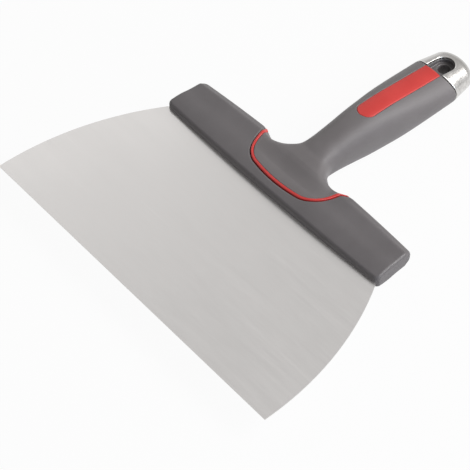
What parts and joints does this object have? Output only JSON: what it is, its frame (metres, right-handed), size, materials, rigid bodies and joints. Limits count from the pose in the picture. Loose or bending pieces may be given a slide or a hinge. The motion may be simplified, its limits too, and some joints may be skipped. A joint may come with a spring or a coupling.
{
  "type": "drywall taping knife",
  "caption": "Wide flat taping knife: fan-shaped steel blade, moulded crossbar, soft-covered handle with finger rests and a metal end cap with a hang hole.",
  "frame": {"origin": "middle of the straight working edge, on the blade's mid-plane", "axes": "+X along the working edge, +Y from the working edge towards the handle's end, +Z out of the blade's upper face"},
  "size_m": [0.2402, 0.2715, 0.0316],
  "materials": {
    "blade_steel": "satin-ground stainless sheet",
    "tang_steel": "plain steel strip",
    "rivet_steel": "plain steel",
    "frame_plastic": "fine satin moulding",
    "accent_red": "smooth red",
    "panel_red": "smooth red, bare",
    "grip_rubber": "matte soft-touch",
    "cap_metal": "polished casting, slightly satin"
  },
  "bodies": {
    "root": {"blade": "blade_steel", "tang": "tang_steel", "tang_rivets": "rivet_steel", "frame": "frame_plastic", "accent_ring": "accent_red", "label_panel_top": "panel_red", "label_panel_under": "panel_red", "soft_grip": "grip_rubber", "end_cap": "cap_metal"}
  },
  "joints": []
}
